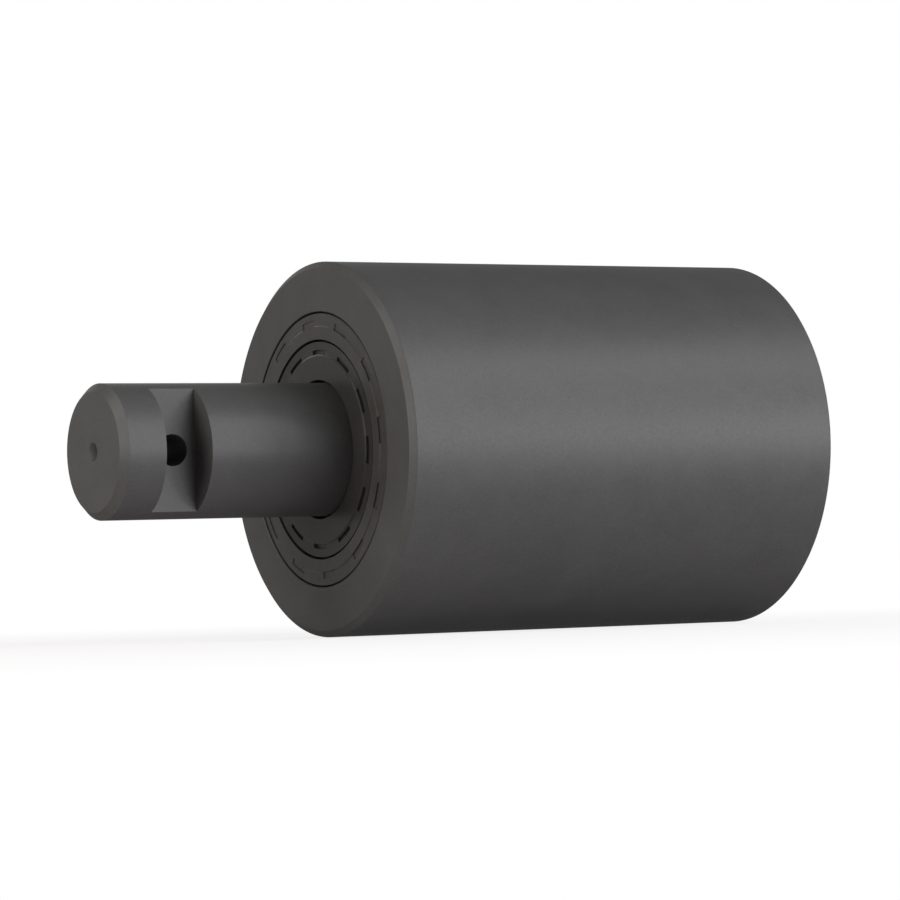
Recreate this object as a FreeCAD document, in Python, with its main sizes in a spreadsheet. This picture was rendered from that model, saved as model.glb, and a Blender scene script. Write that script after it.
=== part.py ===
import FreeCAD, Part
import os
import Sketcher

# Conveyor support roller: a steel roller that turns on a fixed, one-sided axle.
# X runs along the axle. The roller's open face stands at x = 0, the axle's free end points to -X
# and the closed end to +X. The axle's keeper notch faces -Y. All sizes are in millimetres.

SIZES = [
    ("roller_diameter", 84.5, "outside of the roller"),
    ("roller_length", 111.5, "roller from face to face"),
    ("open_edge_along", 1.2, "outer chamfer of the open face, along the axis"),
    ("open_edge_across", 1.5, "outer chamfer of the open face, towards the axis"),
    ("closed_edge", 0.7, "outer chamfer of the closed end"),
    ("open_mouth", 0.15, "broken edge of the bore at the open face"),
    ("closed_mouth", 0.8, "lead-in chamfer of the bore at the closed end"),
    ("land_diameter", 54.0, "bore between the two bearings"),
    ("land_edge", 0.5, "chamfer of that narrower bore"),
    ("bearing_outside", 62.0, "outside of both bearings, and the roller's bore"),
    ("bearing_thickness", 16.0, "width of both bearings"),
    ("bearing_pitch", 46.0, "circle through the centres of the balls"),
    ("bearing_edge", 1.0, "corner chamfer of the bearing rings"),
    ("outer_land", 53.2, "inside of a bearing's outer ring beside the race"),
    ("inner_land", 39.8, "outside of a bearing's inner ring beside the race"),
    ("ball_diameter", 9.525, "bearing ball"),
    ("ball_count", 9, "balls in each bearing"),
    ("ball_gap", 0.05, "running gap between a ball and a race"),
    ("race_radius", 4.95, "section radius of the races"),
    ("cage_sheet", 0.8, "thickness of a pressed cage half"),
    ("cage_width", 4.0, "cage ribbon measured across the pitch circle"),
    ("cage_gap", 0.15, "gap between a ball and its pocket"),
    ("rivet_diameter", 1.6, "cage rivet shank"),
    ("rivet_head", 2.8, "cage rivet head"),
    ("rivet_dome", 0.6, "height of a cage rivet head"),
    ("axle_diameter", 30.0, "axle, its bearing seats and the bearings' bore"),
    ("stub_reach", 56.0, "how far the axle stands out of the open face"),
    ("stub_chamfer", 1.75, "chamfer of the axle's free end"),
    ("shoulder_diameter", 36.0, "axle between the bearings"),
    ("shoulder_edge", 0.6, "chamfer of that shoulder"),
    ("tail_chamfer", 0.8, "chamfer of the axle's inner end"),
    ("notch_from_end", 10.5, "free end to the near wall of the keeper notch"),
    ("notch_width", 11.1, "keeper notch along the axle"),
    ("notch_floor", 6.6, "axis to the flat floor of the notch"),
    ("lock_hole", 7.0, "cross hole for the lock bolt"),
    ("centre_mouth", 4.25, "mouth of the centre holes in both ends of the axle"),
    ("centre_cone", 1.95, "depth of their cone"),
    ("centre_pilot", 2.0, "their pilot bore"),
    ("centre_depth", 4.5, "depth of the pilot bore"),
    ("centre_tip", 0.6, "drill point below it"),
    ("seal_recess", 0.14, "open face to the outer band of the seal"),
    ("seal_width", 9.0, "outer case of the cassette seal"),
    ("case_wall", 1.4, "radial wall of the seal case"),
    ("case_web", 2.3, "front web of the seal case"),
    ("case_shoulder", 30.65, "radius of the case's front, inside the bore"),
    ("case_corner", 0.15, "rounded front corner of the case"),
    ("case_shoulder_depth", 1.3, "how deep that smaller front reaches"),
    ("case_slope", 0.6, "slope from it to the pressed diameter"),
    ("face_rise", 0.12, "how far the case's plain ring stands over its outer band"),
    ("band_inner", 27.6, "inner radius of the outer band"),
    ("band_slope", 0.2, "radial width of the slope from the plain ring down to the band"),
    ("recess_outer", 29.1, "outer radius of the shallow recesses in the band"),
    ("recess_depth", 0.2, "depth of those recesses"),
    ("recess_angle", 12.0, "angle that each recess spans"),
    ("recess_count", 12, "recesses in the band"),
    ("recess_turn_angle", -6.4, "turn of the recesses about the axis at rest"),
    ("seal_gap", 0.55, "ring gap between the seal case and the sleeve's flange"),
    ("flange_radius", 24.2, "outer radius of the sleeve's visible flange"),
    ("flange_rim_depth", 0.1, "depth of the flange's rim below the outer band"),
    ("flange_valley_depth", 0.4, "depth of the flange's foot at the pocket ring"),
    ("pocket_outer", 22.2, "outer radius of the pocket ring"),
    ("pocket_inner", 21.0, "inner radius of the pocket ring"),
    ("pocket_depth", 1.25, "depth of the pockets below the hub"),
    ("tooth_drop", 0.35, "fall of the teeth between the pockets towards their outer edge"),
    ("pocket_angle", 16.0, "angle that each pocket spans"),
    ("pocket_count", 12, "pockets in the ring"),
    ("pocket_turn_angle", 2.6, "turn of the pockets about the axis at rest"),
    ("hub_rise", 0.1, "how far the sleeve's hub stands over the outer band"),
    ("hub_clearance", 0.65, "gap round the axle at the mouth of the sleeve"),
    ("hub_lead", 2.9, "depth of that gap"),
    ("labyrinth_gap", 0.5, "axial gap each side of the sleeve's trapped disc"),
    ("disc_radius", 27.2, "outer radius of the trapped disc"),
    ("disc_thickness", 1.2, "trapped disc"),
    ("lip_web", 1.2, "web that carries the sealing lip"),
    ("sleeve_wall", 3.5, "wall of the sleeve under the lip"),
    ("lip_clearance", 0.06, "running gap between the lip and the sleeve"),
    ("lip_reach", 2.9, "length of the lip behind its web"),
    ("lip_edge", 1.8, "sealing edge behind the web"),
    ("lip_root", 3.1, "height of the lip's root over the sleeve"),
    ("lip_height", 1.8, "height of the lip's back over the sleeve"),
    ("lip_heel", 0.8, "height of the lip's free end over the sleeve"),
    ("lip_front", 1.4, "height of the lip's front over the sleeve"),
    ("spring_groove", 0.7, "section radius of the groove for the garter spring"),
    ("spring_section", 0.65, "section radius of the garter spring"),
    ("o_ring_groove", 2.6, "width of both O-ring grooves"),
    ("axle_groove_depth", 1.6, "depth of the axle's O-ring groove"),
    ("axle_groove_lead", 0.05, "how far that groove starts in front of the sleeve's seat"),
    ("axle_cord", 0.9, "section radius of the axle's O-ring"),
    ("cover_groove_depth", 1.7, "depth of the cover's O-ring groove"),
    ("cover_cord", 1.0, "section radius of the cover's O-ring"),
    ("ring_thickness", 2.0, "both bore retaining rings"),
    ("ring_slot", 2.15, "width of their grooves"),
    ("ring_slot_diameter", 65.0, "diameter of their grooves"),
    ("ring_band", 4.5, "mean radial width of a bore retaining ring"),
    ("ring_taper", 0.7, "offset that makes its band thinner at the ends"),
    ("ring_ear", 3.0, "radius of its ears"),
    ("ring_ear_hole", 2.5, "plier holes in its ears"),
    ("ring_ear_offset", 6.9, "plier hole to the ring's middle line"),
    ("ring_ear_radius", 28.4, "plier hole from the axis"),
    ("ring_opening", 7.4, "opening between its ears"),
    ("clip_thickness", 1.5, "axle circlip"),
    ("clip_slot", 1.6, "width of its groove"),
    ("clip_slot_diameter", 28.6, "diameter of its groove"),
    ("clip_band", 3.0, "mean radial width of the circlip"),
    ("clip_taper", 0.45, "offset that makes its band thinner at the ends"),
    ("clip_ear", 2.1, "radius of its ears"),
    ("clip_ear_hole", 2.0, "plier holes in its ears"),
    ("clip_ear_offset", 4.5, "plier hole to the circlip's middle line"),
    ("clip_ear_radius", 17.2, "plier hole from the axis"),
    ("clip_opening", 4.4, "opening between its ears"),
    ("clip_margin", 2.1, "circlip groove to the axle's inner end"),
    ("ring_fit", 0.03, "radial gap of a retaining ring or circlip in its groove"),
    ("seal_to_ring", 1.36, "back of the seal case to the ring groove"),
    ("rear_margin", 4.5, "ring groove to the closed end's face"),
    ("washer_diameter", 42.0, "support washer behind the rear bearing"),
    ("washer_thickness", 2.5, "that washer"),
    ("cover_wall", 5.0, "end cover"),
    ("cover_skirt", 3.5, "wall of the cover's skirt"),
    ("cover_edge", 0.6, "chamfer of the cover's rim"),
    ("cover_fit", 0.03, "radial gap between the cover and the bore"),
    ("cover_clearance", 1.85, "axle's inner end to the cover"),
    ("plug_thread", 10.0, "fill plug thread and its hole in the cover"),
    ("plug_collar", 14.0, "fill plug collar"),
    ("plug_collar_height", 3.0, "that collar"),
    ("plug_edge", 0.5, "chamfer of the collar"),
    ("plug_socket", 5.0, "hexagon socket across its flats"),
    ("plug_socket_depth", 3.5, "depth of that socket"),
    ("plug_washer", 1.0, "sealing washer under the collar"),
]

PLACES = [
    ("bore_radius", "dim.bearing_outside / 2"),
    ("axle_radius", "dim.axle_diameter / 2"),
    ("pitch_radius", "dim.bearing_pitch / 2"),
    ("ball_radius", "dim.ball_diameter / 2"),
    ("seal_back", "dim.seal_recess + dim.seal_width"),
    ("front_slot", "seal_back + dim.seal_to_ring"),
    ("front_bearing", "front_slot + dim.ring_slot"),
    ("front_bearing_back", "front_bearing + dim.bearing_thickness"),
    ("rear_slot_end", "dim.roller_length - dim.rear_margin"),
    ("rear_slot", "rear_slot_end - dim.ring_slot"),
    ("cover_outside", "rear_slot_end - dim.ring_thickness"),
    ("cover_inside", "cover_outside - dim.cover_wall"),
    ("axle_tail", "cover_inside - dim.cover_clearance"),
    ("clip_slot_start", "axle_tail - dim.clip_margin - dim.clip_slot"),
    ("rear_bearing_back", "clip_slot_start - dim.washer_thickness"),
    ("rear_bearing", "rear_bearing_back - dim.bearing_thickness"),
    ("sleeve_radius", "axle_radius + dim.sleeve_wall"),
    ("disc_front", "dim.case_web + dim.labyrinth_gap"),
    ("disc_back", "disc_front + dim.disc_thickness"),
    ("lip_web_front", "disc_back + dim.labyrinth_gap"),
    ("lip_web_back", "lip_web_front + dim.lip_web"),
    ("axle_groove_start", "dim.seal_recess + dim.hub_lead - dim.axle_groove_lead"),
    ("axle_groove_middle", "axle_groove_start + dim.o_ring_groove / 2"),
    ("cover_groove_middle", "cover_inside - rear_bearing_back + dim.cover_wall / 2"),
]

FINE = 1e-6

doc = FreeCAD.newDocument("support_roller")


def make_sheet(name, rows):
    """One spreadsheet of named cells: the name, its value and, where given, what it is."""
    sheet = doc.addObject("Spreadsheet::Sheet", name)
    for number, row in enumerate(rows, start=1):
        sheet.set(f"A{number}", row[0])
        sheet.set(f"B{number}", str(row[1]))
        sheet.setAlias(f"B{number}", row[0])
        if len(row) > 2:
            sheet.set(f"C{number}", row[2])
    doc.recompute()
    return sheet


dim = make_sheet("dim", SIZES)
at = make_sheet("at", [(name, "=" + formula) for name, formula in PLACES])


def value(formula):
    """The present value of a formula in the sheets' names."""
    return float(at.evalExpression(formula))


def origin_part(piece, role):
    """One of a body's own origin planes or axes."""
    return next(item for item in piece.Origin.OriginFeatures if item.Role == role)


def make_body(name, along="0", turn=None, axis=(1, 0, 0)):
    """An empty body that stands at a place along the axle, turned about one axis where that is given."""
    piece = doc.addObject("PartDesign::Body", name)
    piece.Label = name
    piece.AllowCompound = True
    if turn is not None:
        piece.Placement = FreeCAD.Placement(FreeCAD.Vector(), FreeCAD.Rotation(FreeCAD.Vector(*axis), 1))
        piece.setExpression("Placement.Rotation.Angle", turn)
    piece.setExpression("Placement.Base.x", along)
    return piece


def new_sketch(piece, name, plane="XY_Plane"):
    """An empty sketch on one of the body's origin planes."""
    sketch = piece.newObject("Sketcher::SketchObject", name)
    sketch.AttachmentSupport = [(origin_part(piece, plane), "")]
    sketch.MapMode = "FlatFace"
    return sketch


def pin_point(sketch, item, end, across, up):
    """Fix one point of a sketch with formulas for its two coordinates."""
    for kind, axis, formula in (("DistanceX", -2, across), ("DistanceY", -1, up)):
        if formula == "0":
            sketch.addConstraint(Sketcher.Constraint("PointOnObject", item, end, axis))
        else:
            rule = Sketcher.Constraint(kind, -1, 1, item, end, value(formula))
            number = sketch.addConstraint(rule)
            sketch.setExpression(f"Constraints[{number}]", formula)


def draw_outline(piece, name, corners, plane="XY_Plane"):
    """A closed outline with straight sides. On the XY plane a corner is (along the axle, radius)."""
    sketch = new_sketch(piece, name, plane)
    points = [FreeCAD.Vector(value(across), value(up), 0) for across, up in corners]
    count = len(points)
    for number, point in enumerate(points):
        sketch.addGeometry(Part.LineSegment(point, points[(number + 1) % count]), False)
    for number in range(count):
        sketch.addConstraint(Sketcher.Constraint("Coincident", number, 2, (number + 1) % count, 1))
    for number, (across, up) in enumerate(corners):
        pin_point(sketch, number, 1, across, up)
    return sketch


def draw_circle(piece, name, across, up, radius, plane="XY_Plane"):
    """A circle with formulas for its centre and radius."""
    sketch = new_sketch(piece, name, plane)
    centre = FreeCAD.Vector(value(across), value(up), 0)
    sketch.addGeometry(Part.Circle(centre, FreeCAD.Vector(0, 0, 1), value(radius)), False)
    pin_point(sketch, 0, 3, across, up)
    number = sketch.addConstraint(Sketcher.Constraint("Radius", 0, value(radius)))
    sketch.setExpression(f"Constraints[{number}]", radius)
    return sketch


def turn_sketch(piece, name, sketch, cut=False, angle=None):
    """Revolve a sketch about its own horizontal axis, as added or cut material."""
    feature = piece.newObject("PartDesign::Groove" if cut else "PartDesign::Revolution", name)
    feature.Profile = sketch
    feature.ReferenceAxis = (sketch, ["H_Axis"])
    feature.Angle = 360
    if angle is not None:
        feature.Midplane = True
        feature.setExpression("Angle", angle)
    return feature


def turned(piece, name, corners, cut=False, angle=None):
    """A turned form, or a turned cut, from corners given as (along the axle, radius)."""
    return turn_sketch(piece, name, draw_outline(piece, name + "_outline", corners), cut, angle)


def box_corners(start, end, inner, outer):
    """The outline of a plain ring: from start to end along the axle, from inner to outer radius."""
    return [(start, inner), (start, outer), (end, outer), (end, inner)]


def round_pattern(piece, name, feature, count):
    """Repeat a feature evenly round the axle."""
    pattern = piece.newObject("PartDesign::PolarPattern", name)
    pattern.Originals = [feature]
    pattern.Axis = (origin_part(piece, "X_Axis"), [""])
    pattern.Angle = 360
    pattern.setExpression("Occurrences", count)
    piece.Tip = pattern
    return pattern


def ball_at_pitch(piece, name, radius, cut=False):
    """A sphere, added or cut, on the pitch circle in the body's own middle plane."""
    sphere = piece.newObject("PartDesign::SubtractiveSphere" if cut else "PartDesign::AdditiveSphere", name)
    sphere.setExpression("Radius", radius)
    sphere.setExpression("Placement.Base.y", "at.pitch_radius")
    return sphere


def round_edges(piece, name, along, radius, size):
    """Fillet the circular edges of the last feature at one place along the axle and one radius."""
    doc.recompute()
    base = piece.Tip
    wanted_place, wanted_radius = value(along), value(radius)
    edges = []
    for number, edge in enumerate(base.Shape.Edges, start=1):
        curve = edge.Curve
        if not isinstance(curve, Part.Circle):
            continue
        if abs(curve.Radius - wanted_radius) < FINE and abs(curve.Center.x - wanted_place) < FINE:
            edges.append(f"Edge{number}")
    fillet = piece.newObject("PartDesign::Fillet", name)
    fillet.Base = (base, edges)
    fillet.setExpression("Radius", size)
    return fillet


def roller_shell():
    """The turned steel roller: a bore for the seal, rings and bearings, narrower between the bearings."""
    shell = make_body("roller_shell")
    outside = "dim.roller_diameter / 2"
    slot = "dim.ring_slot_diameter / 2"
    land = "dim.land_diameter / 2"
    turned(shell, "shell_form", [
        ("0", "at.bore_radius + dim.open_mouth"),
        ("0", outside + " - dim.open_edge_across"),
        ("dim.open_edge_along", outside),
        ("dim.roller_length - dim.closed_edge", outside),
        ("dim.roller_length", outside + " - dim.closed_edge"),
        ("dim.roller_length", "at.bore_radius + dim.closed_mouth"),
        ("dim.roller_length - dim.closed_mouth", "at.bore_radius"),
        ("at.rear_slot_end", "at.bore_radius"),
        ("at.rear_slot_end", slot),
        ("at.rear_slot", slot),
        ("at.rear_slot", "at.bore_radius"),
        ("at.rear_bearing", "at.bore_radius"),
        ("at.rear_bearing", land + " + dim.land_edge"),
        ("at.rear_bearing - dim.land_edge", land),
        ("at.front_bearing_back + dim.land_edge", land),
        ("at.front_bearing_back", land + " + dim.land_edge"),
        ("at.front_bearing_back", "at.bore_radius"),
        ("at.front_bearing", "at.bore_radius"),
        ("at.front_bearing", slot),
        ("at.front_slot", slot),
        ("at.front_slot", "at.bore_radius"),
        ("dim.open_mouth", "at.bore_radius"),
    ])


def centre_hole(axle, name, face, inward):
    """A lathe centre hole in one end of the axle. inward is + or -, the way into the metal."""
    turned(axle, name, [
        (face, "0"),
        (face, "dim.centre_mouth / 2"),
        (f"{face} {inward} dim.centre_cone", "dim.centre_pilot / 2"),
        (f"{face} {inward} dim.centre_depth", "dim.centre_pilot / 2"),
        (f"{face} {inward} (dim.centre_depth + dim.centre_tip)", "0"),
    ], cut=True)


def axle():
    """The fixed axle, drawn from its free end: stub, seal groove, bearing seats, shoulder, circlip groove."""
    shaft = make_body("axle", "-dim.stub_reach")
    groove = "at.axle_radius - dim.axle_groove_depth"
    groove_end = "dim.stub_reach + at.axle_groove_start + dim.o_ring_groove"
    shoulder = "dim.shoulder_diameter / 2"
    slot = "dim.clip_slot_diameter / 2"
    tail = "dim.stub_reach + at.axle_tail"
    turned(shaft, "axle_form", [
        ("0", "0"),
        ("0", "at.axle_radius - dim.stub_chamfer"),
        ("dim.stub_chamfer", "at.axle_radius"),
        ("dim.stub_reach + at.axle_groove_start", "at.axle_radius"),
        ("dim.stub_reach + at.axle_groove_start", groove),
        (groove_end, groove),
        (groove_end, "at.axle_radius"),
        ("dim.stub_reach + at.front_bearing_back", "at.axle_radius"),
        ("dim.stub_reach + at.front_bearing_back", shoulder + " - dim.shoulder_edge"),
        ("dim.stub_reach + at.front_bearing_back + dim.shoulder_edge", shoulder),
        ("dim.stub_reach + at.rear_bearing - dim.shoulder_edge", shoulder),
        ("dim.stub_reach + at.rear_bearing", shoulder + " - dim.shoulder_edge"),
        ("dim.stub_reach + at.rear_bearing", "at.axle_radius"),
        ("dim.stub_reach + at.clip_slot_start", "at.axle_radius"),
        ("dim.stub_reach + at.clip_slot_start", slot),
        ("dim.stub_reach + at.clip_slot_start + dim.clip_slot", slot),
        ("dim.stub_reach + at.clip_slot_start + dim.clip_slot", "at.axle_radius"),
        (tail + " - dim.tail_chamfer", "at.axle_radius"),
        (tail, "at.axle_radius - dim.tail_chamfer"),
        (tail, "0"),
    ])
    centre_hole(shaft, "stub_centre", "0", "+")
    centre_hole(shaft, "tail_centre", tail, "-")
    notch = shaft.newObject("PartDesign::Pocket", "keeper_notch")
    notch.Profile = draw_outline(shaft, "keeper_notch_outline", [
        ("dim.notch_from_end", "-dim.notch_floor"),
        ("dim.notch_from_end + dim.notch_width", "-dim.notch_floor"),
        ("dim.notch_from_end + dim.notch_width", "-dim.axle_diameter"),
        ("dim.notch_from_end", "-dim.axle_diameter"),
    ])
    notch.Type = "ThroughAll"
    notch.Midplane = True
    hole = shaft.newObject("PartDesign::Pocket", "lock_hole")
    middle = "dim.notch_from_end + dim.notch_width / 2"
    hole.Profile = draw_circle(shaft, "lock_hole_outline", middle, "0", "dim.lock_hole / 2", "XZ_Plane")
    hole.Type = "ThroughAll"
    hole.Midplane = True


def seal_case():
    """The seal's outer case, pressed into the bore, with its recessed band, inner web and sealing lip."""
    case = make_body("seal_case", "dim.seal_recess", "dim.recess_turn_angle")
    wall = "at.bore_radius - dim.case_wall"
    over_sleeve = "at.sleeve_radius + "
    behind_web = "at.lip_web_back + "
    turned(case, "case_form", [
        ("-dim.face_rise", "dim.flange_radius + dim.seal_gap"),
        ("-dim.face_rise", "dim.band_inner"),
        ("0", "dim.band_inner + dim.band_slope"),
        ("0", "dim.case_shoulder"),
        ("dim.case_shoulder_depth", "dim.case_shoulder"),
        ("dim.case_shoulder_depth + dim.case_slope", "at.bore_radius"),
        ("dim.seal_width", "at.bore_radius"),
        ("dim.seal_width", wall),
        ("at.lip_web_back", wall),
        ("at.lip_web_back", over_sleeve + "dim.lip_root"),
        (behind_web + "dim.lip_root - dim.lip_height - dim.case_corner", over_sleeve + "dim.lip_height"),
        (behind_web + "dim.lip_reach", over_sleeve + "dim.lip_height"),
        (behind_web + "dim.lip_reach", over_sleeve + "dim.lip_heel"),
        (behind_web + "dim.lip_edge", over_sleeve + "dim.lip_clearance"),
        ("at.lip_web_front", over_sleeve + "dim.lip_front"),
        ("at.lip_web_front", wall),
        ("dim.case_web", wall),
        ("dim.case_web", "dim.flange_radius + dim.seal_gap"),
    ])
    round_edges(case, "case_corner", "0", "dim.case_shoulder", "dim.case_corner")
    ring = draw_circle(case, "spring_groove_outline", "at.lip_web_back + dim.lip_edge",
                       "at.sleeve_radius + dim.lip_height", "dim.spring_groove")
    turn_sketch(case, "spring_groove", ring, cut=True)
    window = box_corners("-dim.face_rise", "dim.recess_depth", "dim.band_inner", "dim.recess_outer")
    recess = turned(case, "recess", window, cut=True, angle="dim.recess_angle")
    round_pattern(case, "recesses", recess, "dim.recess_count")


def seal_sleeve():
    """The seal's inner sleeve, seated on the axle: hub, pocket ring, flange and the disc the case traps."""
    sleeve = make_body("seal_sleeve", "dim.seal_recess", "dim.pocket_turn_angle")
    back = "at.front_bearing - dim.seal_recess"
    mouth = "at.axle_radius + dim.hub_clearance"
    turned(sleeve, "sleeve_form", [
        ("-dim.hub_rise", mouth),
        ("-dim.hub_rise", "dim.pocket_inner"),
        ("dim.tooth_drop - dim.hub_rise", "dim.pocket_outer"),
        ("dim.flange_valley_depth", "dim.pocket_outer"),
        ("dim.flange_rim_depth", "dim.flange_radius"),
        ("at.disc_front", "dim.flange_radius"),
        ("at.disc_front", "dim.disc_radius"),
        ("at.disc_back", "dim.disc_radius"),
        ("at.disc_back", "at.sleeve_radius"),
        (back, "at.sleeve_radius"),
        (back, "at.axle_radius"),
        ("dim.hub_lead", "at.axle_radius"),
        ("dim.hub_lead", mouth),
    ])
    floor = "dim.pocket_depth - dim.hub_rise"
    window = box_corners("-dim.hub_rise", floor, "dim.pocket_inner", "dim.pocket_outer")
    pocket = turned(sleeve, "pocket", window, cut=True, angle="dim.pocket_angle")
    round_pattern(sleeve, "pockets", pocket, "dim.pocket_count")


def seal_spring():
    """The garter spring that lies round the lip, as a plain ring of its outer section."""
    spring = make_body("seal_spring", "dim.seal_recess")
    section = draw_circle(spring, "spring_outline", "at.lip_web_back + dim.lip_edge",
                          "at.sleeve_radius + dim.lip_height", "dim.spring_section")
    turn_sketch(spring, "spring_form", section)


def o_ring(name, origin, middle, cord, inner, outer):
    """An O-ring squeezed flat between a groove's floor and the bore round it."""
    ring = make_body(name, origin)
    centre = f"({inner} + {outer}) / 2"
    section = draw_circle(ring, name + "_outline", middle, centre, cord)
    turn_sketch(ring, name + "_form", section)
    start, end = f"{middle} - 2 * {cord}", f"{middle} + 2 * {cord}"
    turned(ring, name + "_inner_flat", box_corners(start, end, f"{inner} - {cord}", inner), cut=True)
    turned(ring, name + "_outer_flat", box_corners(start, end, outer, f"{outer} + {cord}"), cut=True)


def outer_race(side):
    """A bearing's outer ring with its deep groove."""
    ring = make_body(f"{side}_outer_ring", f"at.{side}_bearing")
    land = "dim.outer_land / 2"
    turned(ring, f"{side}_outer_form", [
        ("0", land),
        ("0", "at.bore_radius - dim.bearing_edge"),
        ("dim.bearing_edge", "at.bore_radius"),
        ("dim.bearing_thickness - dim.bearing_edge", "at.bore_radius"),
        ("dim.bearing_thickness", "at.bore_radius - dim.bearing_edge"),
        ("dim.bearing_thickness", land),
    ])
    race = draw_circle(ring, f"{side}_outer_race_outline", "dim.bearing_thickness / 2",
                       "at.pitch_radius + at.ball_radius + dim.ball_gap - dim.race_radius", "dim.race_radius")
    turn_sketch(ring, f"{side}_outer_race", race, cut=True)


def inner_race(side):
    """A bearing's inner ring with its deep groove."""
    ring = make_body(f"{side}_inner_ring", f"at.{side}_bearing")
    land = "dim.inner_land / 2"
    turned(ring, f"{side}_inner_form", [
        ("dim.bearing_edge", "at.axle_radius"),
        ("0", "at.axle_radius + dim.bearing_edge"),
        ("0", land),
        ("dim.bearing_thickness", land),
        ("dim.bearing_thickness", "at.axle_radius + dim.bearing_edge"),
        ("dim.bearing_thickness - dim.bearing_edge", "at.axle_radius"),
    ])
    race = draw_circle(ring, f"{side}_inner_race_outline", "dim.bearing_thickness / 2",
                       "at.pitch_radius - at.ball_radius - dim.ball_gap + dim.race_radius", "dim.race_radius")
    turn_sketch(ring, f"{side}_inner_race", race, cut=True)


def balls(side):
    """The balls of one bearing, evenly round the pitch circle."""
    group = make_body(f"{side}_balls", f"at.{side}_bearing + dim.bearing_thickness / 2")
    ball = ball_at_pitch(group, f"{side}_ball", "at.ball_radius")
    round_pattern(group, f"{side}_ball_ring", ball, "dim.ball_count")


def at_pitch(sketch):
    """Lift a sketch so that its own horizontal axis lies on the pitch circle."""
    sketch.setExpression("AttachmentOffset.Base.y", "at.pitch_radius")
    return sketch


def cage_half(side, name, turn):
    """One pressed ribbon of the cage: a flat ring with a round pocket over each ball."""
    cage = make_body(f"{side}_{name}", f"at.{side}_bearing + dim.bearing_thickness / 2", turn, (0, 1, 0))
    tag = f"{side}_{name}"
    inner = "at.pitch_radius - dim.cage_width / 2"
    outer = "at.pitch_radius + dim.cage_width / 2"
    hollow = "at.ball_radius + dim.cage_gap"
    turned(cage, tag + "_ribbon", box_corners("-dim.cage_sheet", "0", inner, outer))
    dome = ball_at_pitch(cage, tag + "_dome", hollow + " + dim.cage_sheet")
    round_pattern(cage, tag + "_domes", dome, "dim.ball_count")
    reach = "dim.ball_diameter"
    inmost = "dim.inner_land / 4"
    outmost = "at.bore_radius"
    turned(cage, tag + "_inside_trim", box_corners(f"-{reach}", reach, inmost, inner), cut=True)
    turned(cage, tag + "_outside_trim", box_corners(f"-{reach}", reach, outer, outmost), cut=True)
    turned(cage, tag + "_middle_trim", box_corners("0", reach, inmost, outmost), cut=True)
    pocket = ball_at_pitch(cage, tag + "_pocket", hollow, cut=True)
    round_pattern(cage, tag + "_pockets", pocket, "dim.ball_count")


def rivets(side):
    """The rivets of one cage, each between two balls, with a head on both ribbons."""
    half_step = "180 / dim.ball_count"
    group = make_body(f"{side}_cage_rivets", f"at.{side}_bearing + dim.bearing_thickness / 2", half_step)
    head_end = "dim.cage_sheet + dim.rivet_dome"
    outline = draw_outline(group, f"{side}_rivet_outline", [
        (f"-({head_end})", "0"),
        (f"-({head_end})", "dim.rivet_diameter / 2"),
        ("-dim.cage_sheet", "dim.rivet_head / 2"),
        ("-dim.cage_sheet", "dim.rivet_diameter / 2"),
        ("dim.cage_sheet", "dim.rivet_diameter / 2"),
        ("dim.cage_sheet", "dim.rivet_head / 2"),
        (head_end, "dim.rivet_diameter / 2"),
        (head_end, "0"),
    ])
    rivet = turn_sketch(group, f"{side}_rivet", at_pitch(outline))
    round_pattern(group, f"{side}_rivet_ring", rivet, "dim.ball_count")


def rivet_holes(side, name):
    """The holes in one cage half that its rivets fill, half a step from the first ball."""
    cage = doc.getObject(f"{side}_{name}")
    tag = f"{side}_{name}_rivet_hole"
    hole = cage.newObject("PartDesign::SubtractiveCylinder", tag)
    hole.Placement = FreeCAD.Placement(FreeCAD.Vector(), FreeCAD.Rotation(FreeCAD.Vector(0, 1, 0), 90))
    hole.setExpression("Radius", "dim.rivet_diameter / 2")
    hole.setExpression("Height", "2 * dim.cage_sheet")
    hole.setExpression("Placement.Base.x", "-1.5 * dim.cage_sheet")
    hole.setExpression("Placement.Base.y", "at.pitch_radius * cos(180 / dim.ball_count)")
    hole.setExpression("Placement.Base.z", "at.pitch_radius * sin(180 / dim.ball_count)")
    round_pattern(cage, tag + "s", hole, "dim.ball_count")


def bearing(side):
    """One open deep-groove ball bearing with a riveted ribbon cage."""
    outer_race(side)
    inner_race(side)
    balls(side)
    for name, turn in (("cage_open_side", "0"), ("cage_closed_side", "180")):
        cage_half(side, name, turn)
        rivet_holes(side, name)
    rivets(side)


def disc(name, radius, height, across="0", off_axis="0"):
    """A plain disc for the stamped rings. Its axis is Z until the finished ring is turned."""
    plate = doc.addObject("Part::Cylinder", name)
    plate.setExpression("Radius", radius)
    plate.setExpression("Height", height)
    plate.setExpression("Placement.Base.x", across)
    plate.setExpression("Placement.Base.y", off_axis)
    return plate


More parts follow.
